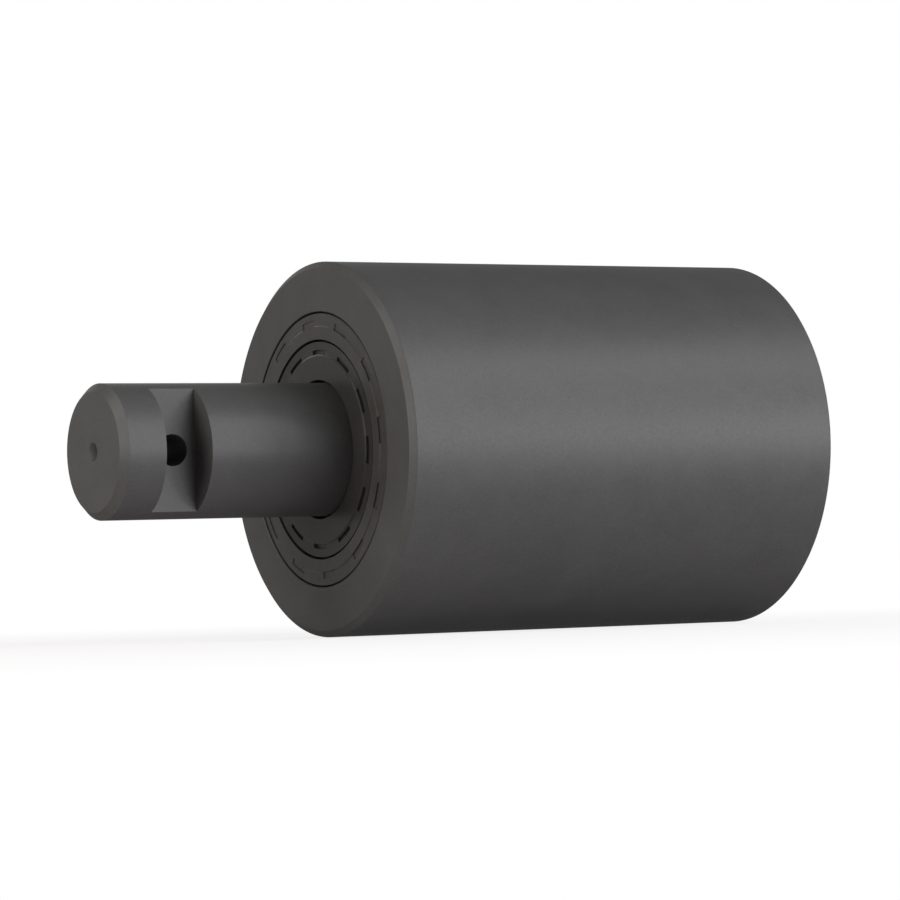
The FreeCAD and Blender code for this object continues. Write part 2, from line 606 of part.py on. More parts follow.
def stamped_ring(name, place, size, outer, outer_shift, inner, inner_shift):
    """A retaining ring: an open band with two ears. size is the prefix of its own cells."""
    height = f"dim.{size}_thickness"
    outside = disc(name + "_outside", outer, height, outer_shift)
    ears = []
    holes = [disc(name + "_inside", inner, height, inner_shift)]
    for side, sign in (("left", "-"), ("right", "")):
        off_axis = f"{sign}dim.{size}_ear_offset"
        across = f"sqrt(dim.{size}_ear_radius ^ 2 - dim.{size}_ear_offset ^ 2)"
        ears.append(disc(f"{name}_{side}_ear", f"dim.{size}_ear", height, across, off_axis))
        holes.append(disc(f"{name}_{side}_hole", f"dim.{size}_ear_hole / 2", height, across, off_axis))
    opening = doc.addObject("Part::Box", name + "_opening")
    opening.setExpression("Length", f"2 * dim.{size}_ear_radius")
    opening.setExpression("Width", f"dim.{size}_opening")
    opening.setExpression("Height", height)
    opening.setExpression("Placement.Base.y", f"-dim.{size}_opening / 2")
    band = doc.addObject("Part::Cut", name + "_band")
    band.Base = outside
    band.Tool = holes[0]
    eared = doc.addObject("Part::MultiFuse", name + "_eared")
    eared.Shapes = [band] + ears
    cuts = doc.addObject("Part::MultiFuse", name + "_cuts")
    cuts.Shapes = holes[1:] + [opening]
    ring = doc.addObject("Part::Cut", name)
    ring.Label = name
    ring.Base = eared
    ring.Tool = cuts
    ring.Placement = FreeCAD.Placement(FreeCAD.Vector(), FreeCAD.Rotation(FreeCAD.Vector(0, 1, 0), 90))
    ring.setExpression("Placement.Base.x", place)


def bore_ring(name, place):
    """A retaining ring that springs outwards into a groove of the bore."""
    outer = "dim.ring_slot_diameter / 2 - dim.ring_fit"
    stamped_ring(name, place, "ring", outer, "0", f"{outer} - dim.ring_band", "dim.ring_taper")


def axle_circlip():
    """The circlip in the axle's groove. It holds the rear bearing through the support washer."""
    inner = "dim.clip_slot_diameter / 2 + dim.ring_fit"
    outer = f"{inner} + dim.clip_band"
    stamped_ring("axle_circlip", "at.clip_slot_start", "clip", outer, "-dim.clip_taper", inner, "0")


def support_washer():
    """The thick washer between the rear bearing's inner ring and the circlip."""
    washer = make_body("support_washer", "at.rear_bearing_back")
    section = box_corners("0", "dim.washer_thickness", "at.axle_radius", "dim.washer_diameter / 2")
    turned(washer, "washer_form", section)


def end_cover():
    """The cup-shaped cover of the closed end: a skirt on the rear bearing, a wall and a threaded hole."""
    cover = make_body("end_cover", "at.rear_bearing_back")
    rim = "at.bore_radius - dim.cover_fit"
    skirt = f"{rim} - dim.cover_skirt"
    wall_start = "at.cover_inside - at.rear_bearing_back"
    wall_end = "at.cover_outside - at.rear_bearing_back"
    turned(cover, "cover_form", [
        ("0", skirt),
        ("0", f"{rim} - dim.cover_edge"),
        ("dim.cover_edge", rim),
        (f"{wall_end} - dim.cover_edge", rim),
        (wall_end, f"{rim} - dim.cover_edge"),
        (wall_end, "dim.plug_thread / 2"),
        (wall_start, "dim.plug_thread / 2"),
        (wall_start, skirt),
    ])
    turned(cover, "cover_groove", box_corners(
        "at.cover_groove_middle - dim.o_ring_groove / 2", "at.cover_groove_middle + dim.o_ring_groove / 2",
        "at.bore_radius - dim.cover_groove_depth", "dim.bearing_outside",
    ), cut=True)


def fill_plug():
    """The screw plug in the middle of the cover, with a hexagon socket in its collar."""
    plug = make_body("fill_plug", "at.cover_inside")
    collar_start = "dim.cover_wall + dim.plug_washer"
    collar_end = "dim.cover_wall + dim.plug_washer + dim.plug_collar_height"
    turned(plug, "plug_form", [
        ("0", "0"),
        ("0", "dim.plug_thread / 2 - dim.plug_edge"),
        ("dim.plug_edge", "dim.plug_thread / 2"),
        (collar_start, "dim.plug_thread / 2"),
        (collar_start, "dim.plug_collar / 2"),
        (f"{collar_end} - dim.plug_edge", "dim.plug_collar / 2"),
        (collar_end, "dim.plug_collar / 2 - dim.plug_edge"),
        (collar_end, "0"),
    ])
    socket = plug.newObject("PartDesign::SubtractivePrism", "plug_socket")
    socket.Polygon = 6
    socket.Placement = FreeCAD.Placement(FreeCAD.Vector(), FreeCAD.Rotation(FreeCAD.Vector(0, 1, 0), -90))
    socket.setExpression("Circumradius", "dim.plug_socket / sqrt(3)")
    socket.setExpression("Height", "dim.plug_socket_depth")
    socket.setExpression("Placement.Base.x", collar_end)


def plug_washer():
    """The sealing washer between the plug's collar and the cover."""
    washer = make_body("plug_washer", "at.cover_outside")
    section = box_corners("0", "dim.plug_washer", "dim.plug_thread / 2", "dim.plug_collar / 2")
    turned(washer, "plug_washer_form", section)


def sound(item):
    """Stop with a plain message where an object of the document failed."""
    if {"Invalid", "Error"} & set(item.State):
        raise RuntimeError(f"{item.Name} failed: {item.State}")


def cuts_something(item):
    """Stop where a cut took no material away."""
    kinds = ("Groove", "Pocket", "SubtractiveSphere", "SubtractiveCylinder", "SubtractivePrism")
    if item.TypeId.split("::")[-1] in kinds and item.Shape.Volume > item.BaseFeature.Shape.Volume - FINE:
        raise RuntimeError(f"{item.Name} cuts nothing")


def write_parts():
    """Check every object, then write one STEP file for each piece."""
    for item in doc.Objects:
        sound(item)
        cuts_something(item)
    os.makedirs("parts", exist_ok=True)
    for name in PIECES:
        shape = doc.getObject(name).Shape
        if shape.isNull() or not shape.isValid():
            raise RuntimeError(f"{name} has no valid shape")
        shape.exportStep(f"parts/{name}.step")
        print(f"{name}: {len(shape.Solids)} solid(s), {shape.Volume:.1f} mm3")


BEARING_PIECES = ["outer_ring", "inner_ring", "balls", "cage_open_side", "cage_closed_side", "cage_rivets"]
PIECES = [
    "roller_shell", "axle", "seal_case", "seal_sleeve", "seal_spring", "axle_o_ring",
    "bearing_retaining_ring", *[f"{side}_{piece}" for side in ("front", "rear") for piece in BEARING_PIECES],
    "axle_circlip", "support_washer", "end_cover", "cover_o_ring", "cover_retaining_ring",
    "fill_plug", "plug_washer",
]

roller_shell()
axle()
seal_case()
seal_sleeve()
seal_spring()
o_ring("axle_o_ring", "0", "at.axle_groove_middle", "dim.axle_cord",
       "(at.axle_radius - dim.axle_groove_depth)", "at.axle_radius")
bore_ring("bearing_retaining_ring", "at.front_bearing - dim.ring_thickness")
bearing("front")
bearing("rear")
axle_circlip()
support_washer()
end_cover()
o_ring("cover_o_ring", "at.rear_bearing_back", "at.cover_groove_middle", "dim.cover_cord",
       "(at.bore_radius - dim.cover_groove_depth)", "at.bore_radius")
bore_ring("cover_retaining_ring", "at.cover_outside")
fill_plug()
plug_washer()
doc.recompute()
write_parts()
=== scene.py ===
import math

import bpy
from bpy.props import FloatProperty, FloatVectorProperty, IntProperty, PointerProperty
from bpy.types import Operator, Panel, PropertyGroup
from mathutils import Matrix, Vector


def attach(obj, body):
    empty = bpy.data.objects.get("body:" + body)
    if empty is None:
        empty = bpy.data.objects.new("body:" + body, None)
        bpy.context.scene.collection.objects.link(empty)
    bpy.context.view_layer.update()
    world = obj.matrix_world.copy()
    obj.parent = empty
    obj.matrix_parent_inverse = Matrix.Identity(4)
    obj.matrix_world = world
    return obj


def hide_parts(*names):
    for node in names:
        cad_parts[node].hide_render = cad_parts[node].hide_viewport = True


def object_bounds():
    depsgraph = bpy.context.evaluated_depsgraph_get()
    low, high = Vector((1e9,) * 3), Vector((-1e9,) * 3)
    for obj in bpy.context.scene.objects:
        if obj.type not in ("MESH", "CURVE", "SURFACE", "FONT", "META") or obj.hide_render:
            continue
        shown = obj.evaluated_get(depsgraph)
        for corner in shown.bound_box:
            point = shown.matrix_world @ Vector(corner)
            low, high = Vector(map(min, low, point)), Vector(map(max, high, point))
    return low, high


bl_info = {
    "name": "Support Roller",
    "version": (1, 0, 0),
    "blender": (4, 5, 0),
    "location": "3D View > Sidebar > Support Roller",
    "description": "Visual pieces, finishes and studio for a conveyor support roller on a one-sided axle",
    "category": "Object",
}

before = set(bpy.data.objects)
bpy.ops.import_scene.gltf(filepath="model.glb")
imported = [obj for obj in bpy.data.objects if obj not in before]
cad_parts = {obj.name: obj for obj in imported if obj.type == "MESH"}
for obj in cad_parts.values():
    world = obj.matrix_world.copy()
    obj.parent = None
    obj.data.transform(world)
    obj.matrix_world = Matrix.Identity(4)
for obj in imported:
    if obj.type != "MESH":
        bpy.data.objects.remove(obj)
CAD_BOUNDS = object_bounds()

# Lengths are written in millimetres here and kept in metres in the properties and meshes.
MM = 0.001
QUARTER_TURN = math.pi / 2
HALF_TURN = math.pi
FULL_TURN = 2 * math.pi
WELD = 1e-6
WHITE = (1.0, 1.0, 1.0, 1.0)

# Places along the axle, measured from the open face as in the solids.
FRONT_BEARING = 12.65 * MM
FRONT_BEARING_BACK = 28.65 * MM
REAR_BEARING = 75.95 * MM
REAR_SLOT_END = 107.0 * MM
AXLE_TAIL = 98.15 * MM


def srgb(code):
    """A linear colour with alpha from an sRGB hex code."""
    parts = [int(code[i : i + 2], 16) / 255 for i in (1, 3, 5)]
    linear = [p / 12.92 if p <= 0.04045 else ((p + 0.055) / 1.055) ** 2.4 for p in parts]
    return (*linear, 1.0)


class RollerSizes(PropertyGroup):
    """Sizes of the turned roller shell."""

    radius: FloatProperty(
        name="Roller radius", description="Outside of the roller", default=42.25 * MM, unit="LENGTH")
    length: FloatProperty(
        name="Roller length", description="Roller from face to face", default=111.5 * MM, unit="LENGTH")
    edge_along: FloatProperty(
        name="Open chamfer, along", description="Open face's chamfer along the axis", default=1.2 * MM,
        unit="LENGTH")
    edge_across: FloatProperty(
        name="Open chamfer, across", description="Open face's chamfer towards the axis", default=1.5 * MM,
        unit="LENGTH")
    closed_edge: FloatProperty(
        name="Closed chamfer", description="Chamfer of the closed end", default=0.7 * MM, unit="LENGTH")
    bore: FloatProperty(
        name="Bore radius", description="Bore for the seal, rings and bearings", default=31.0 * MM,
        unit="LENGTH")
    land: FloatProperty(
        name="Land radius", description="Bore between the two bearings", default=27.0 * MM, unit="LENGTH")
    groove: FloatProperty(
        name="Ring groove radius", description="Grooves of the bore rings", default=32.5 * MM, unit="LENGTH")
    segments: IntProperty(
        name="Segments", description="Flats round a turned piece", default=288, min=96, max=720)


class AxleSizes(PropertyGroup):
    """Sizes of the fixed axle."""

    radius: FloatProperty(
        name="Axle radius", description="Stub and bearing seats", default=15.0 * MM, unit="LENGTH")
    shoulder: FloatProperty(
        name="Shoulder radius", description="Axle between the bearings", default=18.0 * MM, unit="LENGTH")
    stub_end: FloatProperty(
        name="Stub reach", description="How far the stub stands out of the open face", default=56.0 * MM,
        unit="LENGTH")
    chamfer: FloatProperty(
        name="Stub chamfer", description="Chamfer of the free end", default=1.75 * MM, unit="LENGTH")
    notch_start: FloatProperty(
        name="Notch from the end", description="Free end to the keeper notch", default=10.5 * MM,
        unit="LENGTH")
    notch_width: FloatProperty(
        name="Notch width", description="Keeper notch along the axle", default=11.1 * MM, unit="LENGTH")
    notch_floor: FloatProperty(
        name="Notch floor", description="Axis to the floor of the notch", default=6.6 * MM, unit="LENGTH")
    lock_hole: FloatProperty(
        name="Lock hole radius", description="Cross hole for the lock bolt", default=3.5 * MM, unit="LENGTH")


class SealSizes(PropertyGroup):
    """Sizes of the cassette seal in the open face."""

    recess: FloatProperty(
        name="Recess", description="Open face to the outer band of the seal", default=0.2 * MM, unit="LENGTH")
    ring_rise: FloatProperty(
        name="Ring rise", description="How far the case's plain ring stands over its outer band",
        default=0.2 * MM, unit="LENGTH")
    ring_inner: FloatProperty(
        name="Ring inner radius", description="Inside of the case's plain ring", default=24.75 * MM,
        unit="LENGTH")
    ring_outer: FloatProperty(
        name="Ring outer radius", description="Plain ring to outer band", default=27.6 * MM, unit="LENGTH")
    flange: FloatProperty(
        name="Flange radius", description="Outside of the sleeve's flange", default=24.2 * MM, unit="LENGTH")
    hub_rise: FloatProperty(
        name="Hub rise", description="How far the sleeve's hub stands over the outer band", default=0.16 * MM,
        unit="LENGTH")
    window_outer: FloatProperty(
        name="Band recess radius", description="Outside of the band's shallow recesses", default=29.1 * MM,
        unit="LENGTH")
    window_depth: FloatProperty(
        name="Band recess depth", description="Depth of those recesses", default=0.2 * MM, unit="LENGTH")
    window_angle: FloatProperty(
        name="Band recess angle", description="Angle that each recess spans", default=math.radians(12.0),
        subtype="ANGLE")
    window_turn: FloatProperty(
        name="Band recess turn", description="First recess measured from +Y", default=math.radians(-6.4),
        subtype="ANGLE")
    pocket_outer: FloatProperty(
        name="Pocket ring radius", description="Outside of the pocket ring", default=22.4 * MM, unit="LENGTH")
    pocket_inner: FloatProperty(
        name="Pocket inner radius", description="Inside of the pockets", default=21.45 * MM, unit="LENGTH")
    pocket_depth: FloatProperty(
        name="Pocket depth", description="Depth of the pockets below the hub", default=0.95 * MM,
        unit="LENGTH")
    pocket_angle: FloatProperty(
        name="Pocket angle", description="Angle that each pocket spans", default=math.radians(16.0),
        subtype="ANGLE")
    pocket_turn: FloatProperty(
        name="Pocket turn", description="First pocket measured from +Y", default=math.radians(2.6),
        subtype="ANGLE")
    count: IntProperty(
        name="Places", description="Recesses in the band and pockets in the ring", default=12, min=3)
    segments: IntProperty(
        name="Segments", description="Flats round the seal's rings", default=240, min=96, max=720)


class CoverSizes(PropertyGroup):
    """Sizes of the closed end: cover, retaining ring and fill plug."""

    inside: FloatProperty(
        name="Cover seat", description="Open face to the cover's skirt", default=91.95 * MM, unit="LENGTH")
    wall_start: FloatProperty(
        name="Wall inside", description="Open face to the cover wall's inside", default=100.0 * MM,
        unit="LENGTH")
    wall_end: FloatProperty(
        name="Wall outside", description="Open face to the cover's outside", default=105.0 * MM,
        unit="LENGTH")
    rim: FloatProperty(
        name="Cover radius", description="Outside of the cover", default=30.97 * MM, unit="LENGTH")
    skirt: FloatProperty(
        name="Skirt inner radius", description="Inside of the cover's skirt", default=27.47 * MM,
        unit="LENGTH")
    ring_thickness: FloatProperty(
        name="Ring thickness", description="Bore retaining ring", default=2.0 * MM, unit="LENGTH")
    collar: FloatProperty(
        name="Plug collar radius", description="Fill plug's collar", default=7.0 * MM, unit="LENGTH")
    thread: FloatProperty(
        name="Plug thread radius", description="Fill plug's thread", default=5.0 * MM, unit="LENGTH")
    socket: FloatProperty(
        name="Socket across flats", description="Hexagon socket of the plug", default=5.0 * MM, unit="LENGTH")


class FinishColours(PropertyGroup):
    """Base colours of the visible finishes."""

    oxide: FloatVectorProperty(
        name="Black oxide", description="Blackened steel of shell, axle and cover", subtype="COLOR", size=4,
        default=srgb("#484848"), min=0.0, max=1.0)
    rubber: FloatVectorProperty(
        name="Seal rubber", description="Moulded nitrile rubber of the seal", subtype="COLOR", size=4,
        default=srgb("#343332"), min=0.0, max=1.0)


class StudioSettings(PropertyGroup):
    """Camera, floor and lamps."""

    lens: FloatProperty(
        name="Lens", description="Camera lens in millimetres", default=160.2, min=20.0, max=300.0)
    azimuth: FloatProperty(
        name="Azimuth", description="Camera round the upright axis", default=math.radians(30.57),
        subtype="ANGLE")
    elevation: FloatProperty(
        name="Elevation", description="Camera above the horizon", default=math.radians(1.16), subtype="ANGLE")
    axle_turn: FloatProperty(
        name="Axle turn",
        description="Turn of the photographed axle about itself, given to the camera instead",
        default=math.radians(3.4), subtype="ANGLE")
    brightness: FloatProperty(
        name="Lamp level", description="Common factor of all lamps", default=1.0, min=0.0, max=10.0)


def fresh_start():
    """Leave edit mode and deselect everything, the loaded nodes too."""
    if bpy.context.object and bpy.context.object.mode != "OBJECT":
        bpy.ops.object.mode_set(mode="OBJECT")
    bpy.ops.object.select_all(action="DESELECT")


def pick(piece):
    """Select one finished piece alone and make it the active one."""
    fresh_start()
    bpy.context.view_layer.objects.active = piece
    piece.select_set(True)


def apply_transforms():
    """Put the place, turn and scale of the selected piece into its mesh."""
    bpy.ops.object.transform_apply(location=True, rotation=True, scale=True)


def weld():
    """Merge the doubles of the piece in edit mode, and leave all of it selected."""
    bpy.ops.mesh.select_all(action="SELECT")
    bpy.ops.mesh.remove_doubles(threshold=WELD)
    bpy.ops.mesh.select_all(action="SELECT")


def finish_mesh():
    """Merge doubles, point all faces outwards and leave edit mode."""
    weld()
    bpy.ops.mesh.normals_make_consistent(inside=False)
    bpy.ops.object.mode_set(mode="OBJECT")


def draw_section(name, corners):
    """Draw a half section as a chain of edges in the XZ plane, from (along, radius) corners."""
    fresh_start()
    along, radius = corners[0]
    bpy.ops.mesh.primitive_plane_add(size=MM, location=(along, 0.0, radius))
    piece = bpy.context.object
    piece.name = piece.data.name = name
    apply_transforms()
    bpy.ops.object.mode_set(mode="EDIT")
    bpy.ops.mesh.select_all(action="SELECT")
    bpy.ops.mesh.merge(type="CENTER")
    for step in corners[1:]:
        move = (step[0] - along, 0.0, step[1] - radius)
        bpy.ops.mesh.extrude_region_move(TRANSFORM_OT_translate={"value": move})
        along, radius = step
    return piece


def turn_solid(name, corners, segments, closed=True):
    """Turn a half section about the X axis into a closed solid. closed is False where it ends on the axis."""
    piece = draw_section(name, [*corners, corners[0]] if closed else corners)
    weld()
    bpy.ops.mesh.spin(steps=segments, angle=FULL_TURN, center=(0.0, 0.0, 0.0), axis=(1.0, 0.0, 0.0))
    finish_mesh()
    return piece


def ring_windows(name, start, end, inner, outer, angle, turn, count):
    """Cutters for windows in a ring: one curved block, spun to its angle, then copied round the axis."""
    piece = draw_section(name, [(start, inner), (end, inner), (end, outer), (start, outer), (start, inner)])
    weld()
    bpy.ops.mesh.edge_face_add()
    bpy.ops.mesh.spin(steps=12, angle=angle, center=(0.0, 0.0, 0.0), axis=(1.0, 0.0, 0.0))
    bpy.ops.mesh.select_all(action="SELECT")
    pitch = FULL_TURN / count
    bpy.ops.mesh.spin(
        steps=count - 1, dupli=True, angle=FULL_TURN - pitch, center=(0.0, 0.0, 0.0), axis=(1.0, 0.0, 0.0))
    finish_mesh()
    # The section was drawn along +Z, a quarter turn from +Y, and the spin goes left-handed about +X.
    piece.rotation_euler.x = turn - QUARTER_TURN + angle / 2
    apply_transforms()
    return piece


def make_cylinder(radius, depth, place, turn, vertices):
    """A closed cylinder with its middle at a place, turned from upright."""
    fresh_start()
    bpy.ops.mesh.primitive_cylinder_add(
        vertices=vertices, radius=radius, depth=depth, location=place, rotation=turn)
    apply_transforms()
    return bpy.context.object


def make_block(size, place):
    """A closed block with its middle at a place."""
    fresh_start()
    bpy.ops.mesh.primitive_cube_add(size=1.0, location=place)
    block = bpy.context.object
    block.scale = size
    apply_transforms()
    return block


def combine(piece, other, operation):
    """Change one closed shape by another, and remove that one."""
    pick(piece)
    boolean = piece.modifiers.new("combine", "BOOLEAN")
    boolean.operation = operation
    boolean.solver = "EXACT"
    boolean.object = other
    bpy.ops.object.modifier_apply(modifier=boolean.name)
    bpy.data.objects.remove(other)
    if not piece.data.polygons:
        raise RuntimeError(f"{piece.name} has no faces left")


def cut(piece, cutter):
    """Take one closed shape out of another."""
    combine(piece, cutter, "DIFFERENCE")


def join_solid(piece, other):
    """Unite one closed shape with another."""
    combine(piece, other, "UNION")


def break_edges(piece, width, angle=30.0):
    """Round every sharp edge by a small real radius, and let large faces rule the shading."""
    pick(piece)
    bevel = piece.modifiers.new("edge break", "BEVEL")
    bevel.width = width
    bevel.segments = 2
    bevel.limit_method = "ANGLE"
    bevel.angle_limit = math.radians(angle)
    bevel.use_clamp_overlap = True
    bpy.ops.object.modifier_apply(modifier=bevel.name)
    bpy.ops.object.shade_smooth()
    weighted = piece.modifiers.new("even faces", "WEIGHTED_NORMAL")
    weighted.weight = 80
    weighted.keep_sharp = False
    bpy.ops.object.modifier_apply(modifier=weighted.name)


def round_ring_edge(piece, along, radius, size, segments=5):
    """Round one circular edge of a turned piece, picked by its place and radius."""
    pick(piece)
    bpy.ops.object.mode_set(mode="EDIT")
    bpy.ops.mesh.select_mode(type="EDGE")
    bpy.ops.mesh.select_all(action="DESELECT")
    bpy.ops.object.mode_set(mode="OBJECT")
    points = piece.data.vertices
    for edge in piece.data.edges:
        ends = [points[i].co for i in edge.vertices]
        edge.select = all(
            abs(p.x - along) < WELD and abs(math.hypot(p.y, p.z) - radius) < WELD for p in ends)
    if not any(edge.select for edge in piece.data.edges):
        raise RuntimeError(f"{piece.name} has no edge at that place and radius")
    bpy.ops.object.mode_set(mode="EDIT")
    bpy.ops.mesh.bevel(offset=size, segments=segments, affect="EDGES")
    bpy.ops.mesh.select_mode(type="VERT")
    bpy.ops.object.mode_set(mode="OBJECT")


def dress(piece, node, body, material):
    """Give a finished piece its finish and let it stand for its node."""
    piece.data.materials.clear()
    piece.data.materials.append(material)
    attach(piece, body)
    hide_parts(node)


def add_node(tree, kind, inputs=None, **settings):
    """Add one node with its settings. inputs gives values or other nodes' sockets by name or number."""
    node = tree.nodes.new(kind)
    for key, setting in settings.items():
        setattr(node, key, setting)
    for key, given in (inputs or {}).items():
        if isinstance(given, bpy.types.NodeSocket):
            tree.links.new(given, node.inputs[key])
        else:
            node.inputs[key].default_value = given
    return node


def new_material(name, **shader):
    """A material with a Principled shader whose uniform values are set on its own sockets."""
    material = bpy.data.materials.new(name)
    material.use_nodes = True
    tree = material.node_tree
    tree.nodes.clear()
    surface = add_node(tree, "ShaderNodeBsdfPrincipled", shader)
    add_node(tree, "ShaderNodeOutputMaterial", {"Surface": surface.outputs["BSDF"]})
    return material, tree, surface


def per_mm(size):
    """The noise scale whose features are about this many millimetres."""
    return 1.0 / (size * MM)


def lathe_coordinates(tree):
    """Place along the axle and radius as coordinates, so a pattern lies in rings as a lathe leaves it."""
    place = add_node(tree, "ShaderNodeTexCoord").outputs["Object"]
    split = add_node(tree, "ShaderNodeSeparateXYZ", {"Vector": place})
    across = add_node(tree, "ShaderNodeCombineXYZ", {"Y": split.outputs["Y"], "Z": split.outputs["Z"]})
    radius = add_node(tree, "ShaderNodeVectorMath", {0: across.outputs["Vector"]}, operation="LENGTH")
    rings = add_node(
        tree, "ShaderNodeCombineXYZ", {"X": split.outputs["X"], "Y": radius.outputs["Value"]})
    return place, rings.outputs["Vector"]


def two_tone(tree, factor, dark, light):
    """A colour between two close tones."""
    mix = add_node(tree, "ShaderNodeMix", {"Factor": factor, 6: dark, 7: light}, data_type="RGBA")
    return mix.outputs[2]


def shifted(colour, factor):
    """A colour a little darker or lighter, alpha kept."""
    return (*[c * factor for c in colour[:3]], 1.0)


def oxided_steel(name, colour, roughness, grit, ring_pitch, ring_height):
    """Turned, fine-blasted and blackened steel: a matte, dark grey skin with grit and faint tool rings."""
    # The oxide skin is about a third metal and the rest dull crystal, with little light off its edges.
    material, tree, surface = new_material(
        name, **{"Metallic": 0.31, "Specular IOR Level": 0.0, "Specular Tint": (0.4, 0.4, 0.4, 1.0)})
    place, rings = lathe_coordinates(tree)
    cloud = add_node(
        tree, "ShaderNodeTexNoise",
        {"Vector": place, "Scale": per_mm(14.0), "Detail": 5.0, "Roughness": 0.75})
    grain = add_node(
        tree, "ShaderNodeTexNoise", {"Vector": place, "Scale": per_mm(grit), "Detail": 2.0, "Roughness": 0.7})
    tone = add_node(
        tree, "ShaderNodeMath", {0: cloud.outputs["Fac"], 1: grain.outputs["Fac"]}, operation="ADD")
    spread = add_node(
        tree, "ShaderNodeMapRange", {"Value": tone.outputs["Value"], "From Min": 0.7, "From Max": 1.3})
    colour_out = two_tone(tree, spread.outputs["Result"], shifted(colour, 0.9), shifted(colour, 1.1))
    tree.links.new(colour_out, surface.inputs["Base Color"])
    rough = add_node(
        tree, "ShaderNodeMapRange",
        {"Value": cloud.outputs["Fac"], "From Min": 0.3, "From Max": 0.7, "To Min": roughness - 0.03,
         "To Max": roughness + 0.03})
    tree.links.new(rough.outputs["Result"], surface.inputs["Roughness"])
    tool = add_node(
        tree, "ShaderNodeTexNoise", {"Vector": rings, "Scale": per_mm(ring_pitch), "Detail": 1.0})
    ring_bump = add_node(
        tree, "ShaderNodeBump",
        {"Height": tool.outputs["Fac"], "Strength": 0.3, "Distance": ring_height * MM})
    grit_bump = add_node(
        tree, "ShaderNodeBump",
        {"Height": grain.outputs["Fac"], "Strength": 0.5, "Distance": 0.02 * MM,
         "Normal": ring_bump.outputs["Normal"]})
    tree.links.new(grit_bump.outputs["Normal"], surface.inputs["Normal"])
    return material


def moulded_rubber(name, colour, roughness, grit):
    """Moulded nitrile rubber: nearly black, hardly any sheen, a fine mould texture and a slight bloom."""
    material, tree, surface = new_material(
        name, **{"Metallic": 0.0, "IOR": 1.52, "Specular IOR Level": 0.05, "Roughness": roughness})
    place = add_node(tree, "ShaderNodeTexCoord").outputs["Object"]
    bloom = add_node(
        tree, "ShaderNodeTexNoise", {"Vector": place, "Scale": per_mm(6.0), "Detail": 4.0, "Roughness": 0.65})
    spread = add_node(
        tree, "ShaderNodeMapRange", {"Value": bloom.outputs["Fac"], "From Min": 0.3, "From Max": 0.7})
    colour_out = two_tone(tree, spread.outputs["Result"], shifted(colour, 0.88), shifted(colour, 1.12))
    tree.links.new(colour_out, surface.inputs["Base Color"])
    grain = add_node(
        tree, "ShaderNodeTexNoise", {"Vector": place, "Scale": per_mm(grit), "Detail": 2.0})
    bump = add_node(
        tree, "ShaderNodeBump", {"Height": grain.outputs["Fac"], "Strength": 0.4, "Distance": 0.015 * MM})
    tree.links.new(bump.outputs["Normal"], surface.inputs["Normal"])
    return material


def bare_metal(name, colour, roughness, ring_pitch, ring_height, metallic=1.0):
    """Worked metal without paint: its own colour, with fine rings from grinding, turning or rolling."""
    material, tree, surface = new_material(name, **{"Metallic": metallic, "Roughness": roughness})
    place, rings = lathe_coordinates(tree)
    cloud = add_node(
        tree, "ShaderNodeTexNoise", {"Vector": place, "Scale": per_mm(5.0), "Detail": 3.0, "Roughness": 0.6})
    spread = add_node(
        tree, "ShaderNodeMapRange", {"Value": cloud.outputs["Fac"], "From Min": 0.3, "From Max": 0.7})
    colour_out = two_tone(tree, spread.outputs["Result"], shifted(colour, 0.92), shifted(colour, 1.05))
    tree.links.new(colour_out, surface.inputs["Base Color"])
    rough = add_node(
        tree, "ShaderNodeMapRange",
        {"Value": cloud.outputs["Fac"], "From Min": 0.3, "From Max": 0.7, "To Min": roughness * 0.85,
         "To Max": roughness * 1.15})
    tree.links.new(rough.outputs["Result"], surface.inputs["Roughness"])
    tool = add_node(
        tree, "ShaderNodeTexNoise", {"Vector": rings, "Scale": per_mm(ring_pitch), "Detail": 1.0})
    bump = add_node(
        tree, "ShaderNodeBump",
        {"Height": tool.outputs["Fac"], "Strength": 0.3, "Distance": ring_height * MM})
    tree.links.new(bump.outputs["Normal"], surface.inputs["Normal"])
    return material


class ROLLER_OT_shell(Operator):
    """Turn the roller shell with its stepped bore and ring grooves."""

    bl_idname = "roller.shell"
    bl_label = "Roller Shell"

    def execute(self, context):
        sizes = context.scene.roller_sizes
        lead, mouth = 0.15 * MM, 0.8 * MM
        slot = 2.15 * MM
        step = 0.5 * MM
        piece = turn_solid("roller_shell_turned", [
            (0.0, sizes.bore + lead),
            (0.0, sizes.radius - sizes.edge_across),
            (sizes.edge_along, sizes.radius),
            (sizes.length - sizes.closed_edge, sizes.radius),
            (sizes.length, sizes.radius - sizes.closed_edge),
            (sizes.length, sizes.bore + mouth),
            (sizes.length - mouth, sizes.bore),
            (REAR_SLOT_END, sizes.bore),
            (REAR_SLOT_END, sizes.groove),
            (REAR_SLOT_END - slot, sizes.groove),
            (REAR_SLOT_END - slot, sizes.bore),
            (REAR_BEARING, sizes.bore),
            (REAR_BEARING, sizes.land + step),
            (REAR_BEARING - step, sizes.land),
            (FRONT_BEARING_BACK + step, sizes.land),
            (FRONT_BEARING_BACK, sizes.land + step),
            (FRONT_BEARING_BACK, sizes.bore),
            (FRONT_BEARING, sizes.bore),
            (FRONT_BEARING, sizes.groove),
            (FRONT_BEARING - slot, sizes.groove),
            (FRONT_BEARING - slot, sizes.bore),
            (lead, sizes.bore),
        ], sizes.segments)
        break_edges(piece, width=0.1 * MM)
        dress(
            piece, "roller_shell", "roller", bpy.data.materials["black_oxide_blasted_steel"])
        return {"FINISHED"}


